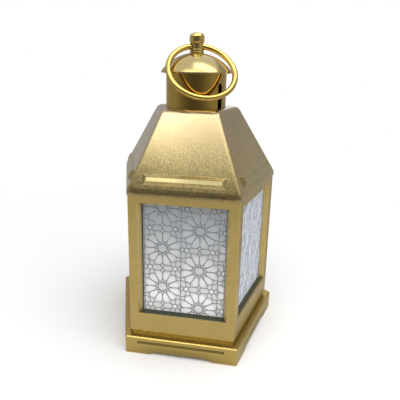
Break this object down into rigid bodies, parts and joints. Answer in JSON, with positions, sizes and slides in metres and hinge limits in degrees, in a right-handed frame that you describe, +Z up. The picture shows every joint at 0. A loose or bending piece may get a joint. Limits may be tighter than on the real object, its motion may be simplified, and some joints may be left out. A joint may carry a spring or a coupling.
{
  "type": "lantern",
  "caption": "Gold five-sided lantern with patterned panes, a pyramid roof with raised bars, a slotted chimney, a domed cap, a knob and a swinging wire ring, with a battery candle inside.",
  "frame": {"origin": "on the lantern's axis, in the plane its feet stand on", "axes": "+Z up along the axis, -Y out of the front side, +X to the right seen from the front"},
  "size_m": [0.0626, 0.0595, 0.1087],
  "materials": {
    "gold_satin": "satin metallic gold coat, lightly grained",
    "gold_bright": "bright metallised gold",
    "ring_wire": "polished",
    "pane_sheet": "frosted translucent sheet with grey lines",
    "candle_ivory": "waxy ivory",
    "flame_amber": "frosted translucent",
    "lamp_resin": "clear resin",
    "board_green": "coated board",
    "screw_steel": "zinc plated",
    "holder_black": "moulded black",
    "cell_steel": "bright",
    "contact_brass": "plated strip",
    "switch_case": "tinned can"
  },
  "bodies": {
    "lantern": {"plinth": "gold_satin", "body_frame": "gold_satin", "pane_front": "pane_sheet", "pane_front_right": "pane_sheet", "pane_back_right": "pane_sheet", "pane_back_left": "pane_sheet", "pane_front_left": "pane_sheet", "roof": "gold_satin", "chimney": "gold_bright", "cap": "gold_bright", "knob": "gold_bright", "knob_screw": "screw_steel", "candle": "candle_ivory", "flame_cover": "flame_amber", "lamp": "lamp_resin", "circuit_board": "board_green", "board_screws": "screw_steel", "cell_holder": "holder_black", "coin_cell": "cell_steel", "cell_contact_side": "contact_brass", "cell_contact_top": "contact_brass", "switch_housing": "switch_case", "base_plate": "gold_satin", "base_screws": "screw_steel"},
    "ring": {"ring_handle": "ring_wire"},
    "button": {"switch_button": "holder_black"},
    "cover": {"battery_cover": "gold_satin"}
  },
  "joints": [
    {"name": "ring_swing", "type": "hinge", "parent": "lantern", "child": "ring", "pos_m": [0, 0, 0.10427], "axis": [-0.9291, -0.3697, 0], "range_deg": [0, 273]},
    {"name": "switch_slide", "type": "slide", "parent": "lantern", "child": "button", "axis": [1, 0, 0], "range_m": [0, 0.002]},
    {"name": "cover_turn", "type": "hinge", "parent": "lantern", "child": "cover", "pos_m": [0, 0.005, 0.0026], "axis": [0, 0, 1], "range_deg": [0, 35]}
  ]
}
